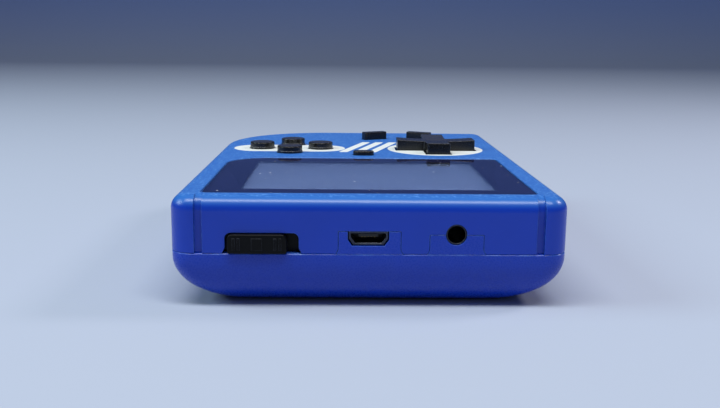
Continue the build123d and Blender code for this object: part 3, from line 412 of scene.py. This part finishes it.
def printed(name, outlines, openings, finish):
    """Ink laid on the face inside the outlines and outside the openings of the keys."""
    piece = placed(name, film(name, outlines, ink_thickness), finish)
    if openings:
        punch = film(name + "_openings", openings, thickness=1.0)
        carved(piece, placed(name + "_openings", punch, finish), "DIFFERENCE")
    return piece


class Recipe(Graph):
    """A geometry tree with named sizes in metres, which grows a shape at each place it is given."""

    def __init__(self, name, sizes):
        super().__init__(bpy.data.node_groups.new(name, "GeometryNodeTree"))
        self.tree.interface.new_socket("Places", in_out="INPUT", socket_type="NodeSocketGeometry")
        for size in sizes:
            self.tree.interface.new_socket(size, in_out="INPUT", socket_type="NodeSocketFloat")
        self.tree.interface.new_socket("Finish", in_out="INPUT", socket_type="NodeSocketMaterial")
        self.tree.interface.new_socket("Pieces", in_out="OUTPUT", socket_type="NodeSocketGeometry")
        self.size = self.add("NodeGroupInput").outputs
        self.result = self.add("NodeGroupOutput").inputs["Pieces"]

    def make(self, kind, values, **settings):
        """One node with its sockets set by name. It returns the node's first output."""
        node = self.add(kind, **settings)
        for name, value in values.items():
            for item in value if isinstance(value, list) else [value]:
                self.give(item, node.inputs[name])
        return node.outputs[0]

    def vector(self, x=0.0, y=0.0, z=0.0):
        return self.make("ShaderNodeCombineXYZ", {"X": x, "Y": y, "Z": z})

    def moved(self, shape, offset):
        return self.make("GeometryNodeTransform", {"Geometry": shape, "Translation": offset})

    def repeat(self, shape):
        places, finish = self.size["Places"], self.size["Finish"]
        spread = self.make("GeometryNodeInstanceOnPoints", {"Points": places, "Instance": shape})
        real = self.make("GeometryNodeRealizeInstances", {"Geometry": spread})
        finished = self.make("GeometryNodeSetMaterial", {"Geometry": real, "Material": finish})
        self.give(finished, self.result)


def grown(name, recipe, places, sizes, finish):
    """Runs a recipe on places and sizes in millimetres, and gives the result as one plain mesh."""
    points = bpy.data.meshes.new(name + "_places")
    points.from_pydata([[c / 1000 for c in place] for place in places], [], [])
    holder = bpy.data.objects.new(name + "_places", points)
    bpy.context.scene.collection.objects.link(holder)
    grower = holder.modifiers.new("grower", "NODES")
    grower.node_group = recipe.tree
    for socket in recipe.tree.interface.items_tree:
        if socket.in_out == "INPUT" and socket.name in sizes:
            grower[socket.identifier] = sizes[socket.name] / 1000
        elif socket.name == "Finish":
            grower[socket.identifier] = finish.material
    mesh = bpy.data.meshes.new_from_object(holder.evaluated_get(bpy.context.evaluated_depsgraph_get()))
    bpy.data.objects.remove(holder)
    return placed(name, mesh, finish)


class Ink(Finish):
    """Screened ink. It follows the grain of the face and is thin on its peaks."""

    def __init__(self):
        super().__init__("ink_white", 0.45)
        coarse = self.noise(face_grain, detail=3, shift=2)
        thin = self.ease(coarse, 0.6, 0.75, 0.0, 0.3)
        self.paint(self.mixed(thin, shade(ink_white), shade(ink_thin)))
        self.emboss(coarse, face_depth * 0.6)


def stripe_recipe():
    recipe = Recipe("slanted_stripes", stripe_sizes)
    size, make = recipe.size, recipe.make
    outline = make(
        "GeometryNodeCurvePrimitiveQuadrilateral",
        {"Width": size["Width"], "Height": size["Length"], "Offset": size["Slant"]},
        mode="PARALLELOGRAM",
    )
    rounding = {"Curve": outline, "Count": 6, "Radius": size["Corner"]}
    soft = make("GeometryNodeFilletCurve", rounding, mode="POLY")
    flat = make("GeometryNodeFillCurve", {"Curve": soft}, mode="NGONS")
    rise = {"Mesh": flat, "Offset Scale": size["Thickness"], "Individual": False}
    raised = make("GeometryNodeExtrudeMesh", rise)
    under = make("GeometryNodeFlipFaces", {"Mesh": flat})
    both = make("GeometryNodeJoinGeometry", {"Geometry": [under, raised]})
    closed = make("GeometryNodeMergeByDistance", {"Geometry": both, "Distance": weld_reach})
    recipe.repeat(closed)
    return recipe


ink = Ink()
cross_middle = middle("dpad")
disc_outline = ring(cross_middle, disc_radius)
cross_opening = plus(cross_middle, cross_width / 2 + cross_gap, cross_arm / 2 + cross_gap)
band_outline = band(*band_ends, middle(round_keys[0])[1], band_round)
round_openings = [ring(middle(key), round_key_radius + round_key_gap) for key in round_keys]
stripe_places = [
    (stripe_middle[0] + (index - (stripe_count - 1) / 2) * stripe_pitch, stripe_middle[1], face_level)
    for index in range(stripe_count)
]
for piece in (
    printed("print_disc", [disc_outline, cross_opening], [], ink),
    printed("print_band", [band_outline], round_openings, ink),
    grown("print_stripes", stripe_recipe(), stripe_places, stripe_sizes, ink),
):
    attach(piece, "case")

# Lens: a clear acrylic plate let into the face. It is stuck down on a black adhesive frame, which shows
# through it as the dark border. The frame is tinted navy, as a painted reflection of blue surroundings.
# Dust and fine scratches lie on it.
lens_clear = (238, 242, 248)
dust_grey = (200, 208, 224)
dust_radius = 0.12
dust_weight = 0.7
scratch_across = (0.42, 0.9, 0.0)
scratch_pitch = 13.0
scratch_half = 0.05
scratch_weight = 0.15
acrylic_ior = 1.49
acrylic_roughness = 0.03


class Pane(Finish):
    """Polished acrylic that lets the lamps through to what lies behind it."""

    def __init__(self):
        super().__init__("lens_acrylic", acrylic_roughness)
        self.shader.inputs["IOR"].default_value = acrylic_ior
        few, many = self.specks(0.3, dust_radius, shift=1), self.specks(0.6, dust_radius, shift=7)
        dust = self.calc("MAXIMUM", few, many)
        crossed = self.add("ShaderNodeVectorMath", operation="DOT_PRODUCT")
        self.give(self.place, crossed.inputs[0])
        self.give(scratch_across, crossed.inputs[1])
        wavy = self.calc("ADD", crossed.outputs["Value"], self.noise(0.05, detail=1, shift=2))
        line = self.ease(self.calc("PINGPONG", wavy, scratch_pitch / 2), scratch_half, 0.0)
        broken = self.calc("MULTIPLY", line, self.ease(self.noise(0.11, shift=4), 0.56, 0.66))
        faint = self.calc("MULTIPLY", broken, scratch_weight)
        marks = self.calc("MAXIMUM", self.calc("MULTIPLY", dust, dust_weight), faint)
        self.paint(self.mixed(marks, shade(lens_clear), shade(dust_grey)))
        self.give(self.calc("SUBTRACT", 1, marks), self.shader.inputs["Transmission Weight"])
        smear = self.ease(self.noise(0.05, detail=3), 0.4, 0.7, 0.02, 0.05)
        dull = self.calc("MAXIMUM", smear, self.calc("MULTIPLY", marks, 0.8))
        self.give(dull, self.shader.inputs["Roughness"])
        either = self.add("ShaderNodeMixShader")
        self.give(self.add("ShaderNodeLightPath").outputs["Is Shadow Ray"], either.inputs[0])
        self.give(self.shader.outputs[0], either.inputs[1])
        self.give(self.add("ShaderNodeBsdfTransparent").outputs[0], either.inputs[2])
        self.give(either.outputs[0], self.tree.nodes["Material Output"].inputs["Surface"])


Pane().cover("screen_lens")
# The tape's navy tint is a painted reflection of blue surroundings.
tape_ink = Moulded("tape_black", (10, 18, 80), (26, 30, 70), 0.6, grain=5.0, depth=0.002)
tape_ink.cover("lens_tape")

# Panel: the glass sandwich of the display, switched off. Its grey polariser shows the picture
# cells as a faint grid. A foam frame seals it to the tape, and a white tray with the back light
# holds it. Foam blocks carry the tray on the board, and an amber cable runs down to it.
cell_pitch = 0.16
cell_gap = 0.04
cell_weight = 0.35
polariser = (100, 116, 152)


class DarkPanel(Finish):
    """A switched-off display under its polariser."""

    def __init__(self):
        super().__init__("panel_glass", 0.22)
        across = self.calc("PINGPONG", self.axis("X"), cell_pitch / 2)
        along = self.calc("PINGPONG", self.axis("Y"), cell_pitch / 2)
        line = self.ease(self.calc("MINIMUM", across, along), cell_gap / 2, 0.0)
        haze = self.mixed(self.noise(0.06, detail=3), shade(polariser, 0.94), shade(polariser))
        self.paint(self.mixed(self.calc("MULTIPLY", line, cell_weight), haze, shade(polariser, 0.62)))
        self.emboss(self.noise(0.8), 0.002)


DarkPanel().cover("lcd_panel")
Moulded("tray_white", (214, 216, 214), (238, 238, 236), 0.5, grain=2.0).cover("lcd_frame")
foam_black = Moulded("foam_black", (28, 28, 30), (44, 44, 46), 0.9, depth=0.08, edge=0.2)
foam_black.cover("lcd_gasket", "lcd_foam")
Moulded("ribbon_amber", (176, 104, 32), (214, 150, 70), 0.32, grain=1.2).cover("lcd_ribbon")

# Keys: the cross, four round buttons, two bars and the reset pill, in black moulded plastic.
# They are satin and almost black. Their rims are painted light grey, as rubbed wear and as painted
# highlights where the edges catch the light.
key_black = (12, 12, 14)
key_rub_and_highlight = (150, 152, 162)
key_skin = {"roughness": 0.26, "grain": 4.0, "depth": 0.0015, "edge": 0.26, "wear_and_highlight": 0.95}
key_plastic = Moulded("key_black", key_black, key_rub_and_highlight, **key_skin)
key_plastic.cover("dpad", *round_keys, "start_button", "select_button", "reset_button")

# Under the keys: grey silicone sheets with hollow domes. Each sheet is cut into a flat piece and its
# domes, one under each key and each plunger of the cross, and each dome has a mesh of its own. The cross
# rocks on a steel ball on a nylon post.
sheet_thickness = 0.8
cut_rise = 0.02
cut_margin = 1.0
dome_half = 3.6
plunger_reach = 7.3
plunger_travel = 0.75
key_joints = {
    "action_button_right": "right_button_press",
    "action_button_left": "left_button_press",
    "action_button_top": "top_button_press",
    "action_button_bottom": "bottom_button_press",
    "start_button": "start_press",
    "select_button": "select_press",
    "reset_button": "reset_press",
}
rubber_grey = Moulded("sheet_rubber", (150, 152, 150), (176, 178, 176), 0.6, grain=1.5, depth=0.006)


def cut_out(name, node, low, high, finish):
    """What a box from low to high takes of a node's solid, as a closed piece."""
    shape = bmesh.new()
    shape.from_mesh(nodes[node].data)
    bmesh.ops.remove_doubles(shape, verts=shape.verts, dist=weld_reach)
    whole = bpy.data.meshes.new(name)
    shape.to_mesh(whole)
    shape.free()
    piece = placed(name, whole, finish)
    box = bmesh.new()
    bmesh.ops.create_cube(box, size=1)
    for corner in box.verts:
        corner.co = [(high[i] if corner.co[i] > 0 else low[i]) / 1000 for i in range(3)]
    box_mesh = bpy.data.meshes.new(name + "_box")
    box.to_mesh(box_mesh)
    box.free()
    return carved(piece, placed(name + "_box", box_mesh, finish), "INTERSECT")


def rubber_piece(name, sheet, low, high):
    """A cut of a rubber sheet, which takes the sheet's place together with its other cuts."""
    piece = cut_out(name, sheet, low, high, rubber_grey)
    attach(piece, "case")
    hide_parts(sheet)
    return piece


joints = {joint["name"]: joint for joint in frame["joints"]}
domes = []
for key, joint in key_joints.items():
    carrier = joints[joint]["deforming_nodes"][0]["node"]
    domes.append((middle(key), carrier, joint, 1000 * joints[joint]["range_m"][1]))
cross_x, cross_y = middle("pivot_ball")
for step in (-plunger_reach, plunger_reach):
    domes.append(((cross_x + step, cross_y), "dpad_membrane", "cross_tilt_y", plunger_travel))
    domes.append(((cross_x, cross_y + step), "dpad_membrane", "cross_tilt_x", plunger_travel))
for sheet in ("dpad_membrane", "action_membrane", "menu_membrane", "reset_membrane"):
    low, high = ([1000 * c for c in corner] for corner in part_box(sheet))
    dome_foot = low[2] + sheet_thickness + cut_rise
    before = [c - cut_margin for c in low]
    beyond = [c + cut_margin for c in high]
    rubber_piece(sheet + "_flat", sheet, before, (*beyond[:2], dome_foot))
    for number, ((x, y), carrier, joint, travel) in enumerate(domes):
        if carrier != sheet:
            continue
        near = (x - dome_half, y - dome_half, dome_foot)
        far = (x + dome_half, y + dome_half, beyond[2])
        piece = rubber_piece(f"{sheet}_dome_{number}", sheet, near, far)
        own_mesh(piece)
Moulded("post_nylon", (222, 220, 210), (240, 238, 230), 0.45, grain=2.0).cover("dpad_post")


class Metal(Finish):
    """Bare or plated metal: tarnish in patches, a fine rolled grain and a painted highlight along its
    edges.
    """

    grain = 1.5
    depth = 0.004
    edge = 0.1
    edge_weight = 0.5

    def __init__(self, name, colour, tarnish, roughness, bright=(228, 228, 232)):
        super().__init__(name, roughness, metallic=1.0)
        patches = self.ease(self.noise(0.45, detail=4), 0.35, 0.75, 0.0, 0.6)
        dulled = self.mixed(patches, shade(colour), shade(tarnish))
        # A painted highlight along the edges.
        edge_highlight = self.calc("MULTIPLY", self.edges(self.edge), self.edge_weight)
        self.paint(self.mixed(edge_highlight, dulled, shade(bright)))
        fine = self.noise(self.grain, detail=3, shift=4)
        dull = self.ease(fine, 0.3, 0.7, roughness - 0.06, roughness + 0.1)
        self.give(dull, self.shader.inputs["Roughness"])
        self.emboss(fine, self.depth, self.edge)


Metal("pivot_steel", (200, 200, 204), (160, 160, 164), 0.16).cover("pivot_ball")

# Power slider: a black knob with raised ribs in a slot of the ports wall. It is duller than the keys.
# Behind the wall its fork holds the lever of a slide switch in a steel case.
knob_skin = {"roughness": 0.4, "grain": 4.0, "edge": 0.18, "wear_and_highlight": 0.95, "specular": 0.15}
Moulded("knob_black", (3, 3, 6), (70, 73, 84), **knob_skin).cover("power_knob")
Moulded("lever_black", (26, 26, 28), (80, 80, 84), 0.42).cover("power_switch_lever")
Metal("switch_steel", (190, 192, 194), (140, 140, 142), 0.3).cover("power_switch_body")

# Charging port: a folded, nickel-plated can with a black tongue in it that carries five brass contacts.
# The can's dark grey is a painted reflection of dark surroundings, and tarnish patches lie on it. The
# round audio and video jack beside it is black plastic, with its rims painted lighter as painted
# highlights.
Metal("can_nickel", (72, 76, 88), (48, 50, 60), 0.34, bright=(170, 176, 192)).cover("usb_shell")
Moulded("tongue_black", (12, 12, 14), (60, 60, 66), 0.36).cover("usb_tongue")
jack_skin = {"roughness": 0.22, "depth": 0.003, "edge": 0.22, "wear_and_highlight": 0.9}
Moulded("jack_black", (10, 10, 13), (96, 102, 122), **jack_skin).cover("av_jack_body")
contact_brass = Metal("contact_brass", (222, 186, 110), (160, 124, 70), 0.25)
contact_brass.cover("usb_contacts", "av_jack_contacts", "battery_contacts")

# Board: green glass laminate with a solder mask. The chips, the crystal, the capacitors and the
# resin over the processor are soldered or potted on it.
board_skin = {"roughness": 0.38, "grain": 1.6, "depth": 0.01, "edge": 0.3}
Moulded("board_green", (16, 84, 44), (150, 150, 96), **board_skin).cover("main_board")
chip_black = Moulded("chip_black", (34, 34, 36), (70, 70, 74), 0.55, depth=0.01)
chip_black.cover("memory_chip", "charge_chip")
resin_skin = {"roughness": 0.2, "grain": 0.5, "depth": 0.06}
Moulded("resin_black", (14, 14, 15), (30, 30, 32), **resin_skin).cover("processor_blob")
Moulded("sleeve_blue", (24, 34, 70), (120, 126, 140), 0.35, grain=2.0).cover("capacitors")
Metal("crystal_nickel", (196, 196, 192), (150, 148, 140), 0.28).cover("crystal_can")

# Battery: a foil cell in a grey sleeve, which lies under the board and over the door.
# It presses on three sprung contacts in a black block.
sleeve_skin = {"roughness": 0.3, "grain": 0.7, "depth": 0.02, "edge": 0.3}
Moulded("battery_wrap", (70, 74, 82), (150, 154, 160), **sleeve_skin).cover("battery")
Moulded("block_black", (24, 24, 26), (60, 60, 64), 0.45).cover("battery_contact_block")

# Speaker: a pressed frame with a paper cone over the slits of the back, a steel magnet, and two
# red wires that run up to the board.
frame_grey = Moulded("speaker_grey", (84, 86, 90), (130, 132, 136), 0.4, grain=2.0, depth=0.006)
frame_grey.cover("speaker_frame")
cone_paper = Moulded("cone_black", (20, 20, 22), (34, 34, 36), 0.8, grain=2.4, depth=0.03)
cone_paper.cover("speaker_cone")
Metal("magnet_steel", (176, 178, 180), (120, 120, 124), 0.32).cover("speaker_magnet")
Moulded("wire_red", (176, 30, 26), (206, 80, 70), 0.35, grain=2.0).cover("speaker_wires")

# Screws: plated steel, with a crowned pan head, a cross recess and a coarse thread for plastic.
# Four join the shells from the back, and four smaller ones hold the board under the face.
head_steps = 32
shank_steps = 20
tip_share = 0.3
case_screw_places = ((-34.6, 51.3, 6.5), (34.6, 51.3, 6.5), (-33.4, -51.5, 6.5), (27.0, -43.1, 6.5))
case_screw_sizes = {
    "Head Radius": 1.8,
    "Head Height": 1.2,
    "Crown": 0.3,
    "Drive Width": 0.42,
    "Drive Reach": 2.5,
    "Drive Depth": 0.7,
    "Shank Radius": 0.9,
    "Shank Length": 8.0,
    "Tip Length": 0.9,
    "Thread Depth": 0.22,
    "Thread Pitch": 0.8,
}
board_screw_places = (
    (-35.2, 26.5, 11.55),
    (35.2, 26.5, 11.55),
    (-0.25, -22.6, 11.55),
    (-33.4, -35.1, 11.55),
)
board_screw_sizes = {
    "Head Radius": 1.5,
    "Head Height": 0.9,
    "Crown": 0.2,
    "Drive Width": 0.36,
    "Drive Reach": 2.0,
    "Drive Depth": 0.5,
    "Shank Radius": 0.75,
    "Shank Length": 4.5,
    "Tip Length": 0.6,
    "Thread Depth": 0.18,
    "Thread Pitch": 0.7,
}


def screw_recipe():
    recipe = Recipe("screws", case_screw_sizes)
    size = recipe.size
    calc, make, vector = recipe.calc, recipe.make, recipe.vector
    disc = make(
        "GeometryNodeMeshCylinder",
        {
            "Vertices": head_steps,
            "Side Segments": 1,
            "Fill Segments": 4,
            "Radius": size["Head Radius"],
            "Depth": size["Head Height"],
        },
    )
    seated = recipe.moved(disc, vector(z=calc("MULTIPLY", size["Head Height"], -0.5)))
    place = recipe.add("ShaderNodeSeparateXYZ")
    recipe.give(make("GeometryNodeInputPosition", {}), place.inputs[0])
    out_square = calc("ADD", calc("POWER", place.outputs["X"], 2), calc("POWER", place.outputs["Y"], 2))
    out_share = calc("DIVIDE", out_square, calc("POWER", size["Head Radius"], 2))
    below = calc("LESS_THAN", place.outputs["Z"], calc("MULTIPLY", size["Head Height"], -0.5))
    drop = calc("MULTIPLY", calc("MULTIPLY", out_share, size["Crown"]), below)
    crowned = make("GeometryNodeSetPosition", {"Geometry": seated, "Offset": vector(z=drop)})
    recess_level = vector(z=calc("MULTIPLY", size["Head Height"], -1))
    wide, long = size["Drive Width"], size["Drive Reach"]
    deep = calc("MULTIPLY", size["Drive Depth"], 2)
    bars = [
        recipe.moved(make("GeometryNodeMeshCube", {"Size": vector(x, y, deep)}), recess_level)
        for x, y in ((wide, long), (long, wide))
    ]
    head = make("GeometryNodeMeshBoolean", {"Mesh 1": crowned, "Mesh 2": bars}, operation="DIFFERENCE")
    core_radius = calc("SUBTRACT", size["Shank Radius"], size["Thread Depth"])
    core_length = calc("SUBTRACT", size["Shank Length"], size["Tip Length"])
    core = make(
        "GeometryNodeMeshCylinder",
        {
            "Vertices": shank_steps,
            "Side Segments": 1,
            "Fill Segments": 1,
            "Radius": core_radius,
            "Depth": core_length,
        },
    )
    shank = recipe.moved(core, vector(z=calc("MULTIPLY", core_length, 0.5)))
    cone = make(
        "GeometryNodeMeshCone",
        {
            "Vertices": shank_steps,
            "Radius Top": calc("MULTIPLY", core_radius, tip_share),
            "Radius Bottom": core_radius,
            "Depth": size["Tip Length"],
        },
    )
    tip = recipe.moved(cone, vector(z=core_length))
    helix = make(
        "GeometryNodeCurveSpiral",
        {
            "Resolution": shank_steps,
            "Rotations": calc("DIVIDE", core_length, size["Thread Pitch"]),
            "Start Radius": core_radius,
            "End Radius": core_radius,
            "Height": core_length,
        },
    )
    ridge = make("GeometryNodeCurvePrimitiveCircle", {"Resolution": 3, "Radius": size["Thread Depth"]})
    sweep = {"Curve": helix, "Profile Curve": ridge, "Fill Caps": True}
    thread = make("GeometryNodeCurveToMesh", sweep)
    recipe.repeat(make("GeometryNodeJoinGeometry", {"Geometry": [head, shank, tip, thread]}))
    return recipe


screw_steel = Metal("screw_steel", (158, 158, 164), (98, 96, 94), 0.3)
screws = screw_recipe()
for name, node, places, sizes in (
    ("case_screw_set", "case_screws", case_screw_places, case_screw_sizes),
    ("board_screw_set", "board_screws", board_screw_places, board_screw_sizes),
):
    piece = grown(name, screws, places, sizes, screw_steel)
    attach(piece, "case")
    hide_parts(node)

# The studio: plain pale paper that lies under the console and curves up far behind it, one wide
# soft lamp above and a little towards the camera, a low one far behind, and weak ones at the sides.
floor_half = 3.0
floor_gap = 0.00005
backdrop_start = -1.4
backdrop_curve = 0.9
backdrop_height = 2.4
backdrop_steps = 12
floor_pale = (172, 182, 202)
paper_far = (104, 140, 220)
air_colour = (0.66, 0.76, 1.0, 1.0)
air_strength = 0.18


def studio_floor():
    shape = bmesh.new()
    profile = [(floor_half, -floor_gap), (backdrop_start, -floor_gap)]
    for step in range(1, backdrop_steps + 1):
        turn = math.pi / 2 * step / backdrop_steps
        rise = backdrop_curve * (1 - math.cos(turn)) - floor_gap
        profile.append((backdrop_start - backdrop_curve * math.sin(turn), rise))
    profile.append((profile[-1][0], backdrop_height))
    rows = [[shape.verts.new((x, y, z)) for y, z in profile] for x in (-floor_half, floor_half)]
    for first, second, third, fourth in zip(rows[0], rows[1], rows[1][1:], rows[0][1:]):
        shape.faces.new((first, second, third, fourth)).smooth = True
    mesh = bpy.data.meshes.new("studio_floor")
    shape.to_mesh(mesh)
    shape.free()
    finish = Finish("floor_paper", 0.8, specular=0.1)
    far = finish.ease(finish.axis("Y"), 1000 * backdrop_start, 1000 * (backdrop_start - backdrop_curve))
    finish.paint(finish.mixed(far, shade(floor_pale), shade(paper_far)))
    placed("studio_floor", mesh, finish)


def soft_lamp(name, place, aim, size, watts, colour):
    """A rectangular lamp at a place, turned to its aim. All sizes are in metres."""
    lamp = bpy.data.lights.new(name, "AREA")
    lamp.shape = "RECTANGLE"
    lamp.size, lamp.size_y = size
    lamp.energy = watts
    lamp.color = colour
    holder = bpy.data.objects.new(name, lamp)
    bpy.context.scene.collection.objects.link(holder)
    holder.location = place
    holder.rotation_euler = (Vector(aim) - Vector(place)).to_track_quat("-Z", "Y").to_euler()


studio_floor()
soft_lamp("lamp_above", (0.05, 0.32, 0.95), (0, 0, 0.01), (1.1, 0.24), watts=10, colour=(1.0, 0.99, 0.94))
soft_lamp("lamp_far", (0, -1.2, 0.46), (0, 0, 0.02), (1.6, 0.34), watts=0.3, colour=(1.0, 1.0, 1.0))
soft_lamp("lamp_left", (0.9, 0.1, 0.6), (0, 0, 0.01), (0.5, 0.4), watts=4.5, colour=(0.8, 1.0, 1.0))
soft_lamp("lamp_right", (-0.6, -0.1, 0.5), (0, 0, 0.02), (0.16, 0.16), watts=1.6, colour=(1.0, 0.9, 0.9))
world = bpy.data.worlds.new("studio_air")
bpy.context.scene.world = world
world.use_nodes = True
air = world.node_tree.nodes["Background"].inputs
air["Color"].default_value = air_colour
air["Strength"].default_value = air_strength

# The camera stands in front of the ports wall and a little above the face, as in the photograph.
# Its place and turns were solved from the edges of the case, the lens and the keys.
camera_place = (0.0056, 0.22138, 0.05424)
camera_yaw, camera_pitch, camera_roll = (math.radians(turn) for turn in (-1.223, -11.199, 0.598))
camera_focus = 42.64

ahead = Vector((
    math.sin(camera_yaw) * math.cos(camera_pitch),
    -math.cos(camera_yaw) * math.cos(camera_pitch),
    math.sin(camera_pitch),
))
level = Vector((-math.cos(camera_yaw), -math.sin(camera_yaw), 0))
upward = level.cross(ahead)
right = level * math.cos(camera_roll) + upward * math.sin(camera_roll)
above = upward * math.cos(camera_roll) - level * math.sin(camera_roll)
turned = Matrix((right, above, -ahead)).transposed()
camera = bpy.data.objects.new("camera", bpy.data.cameras.new("camera"))
bpy.context.scene.collection.objects.link(camera)
camera.data.sensor_width = 36
camera.data.lens = camera_focus
camera.data.clip_start = 0.01
camera.matrix_world = Matrix.Translation(camera_place) @ turned.to_4x4()
bpy.context.scene.camera = camera
bpy.context.scene.view_settings.view_transform = "Standard"
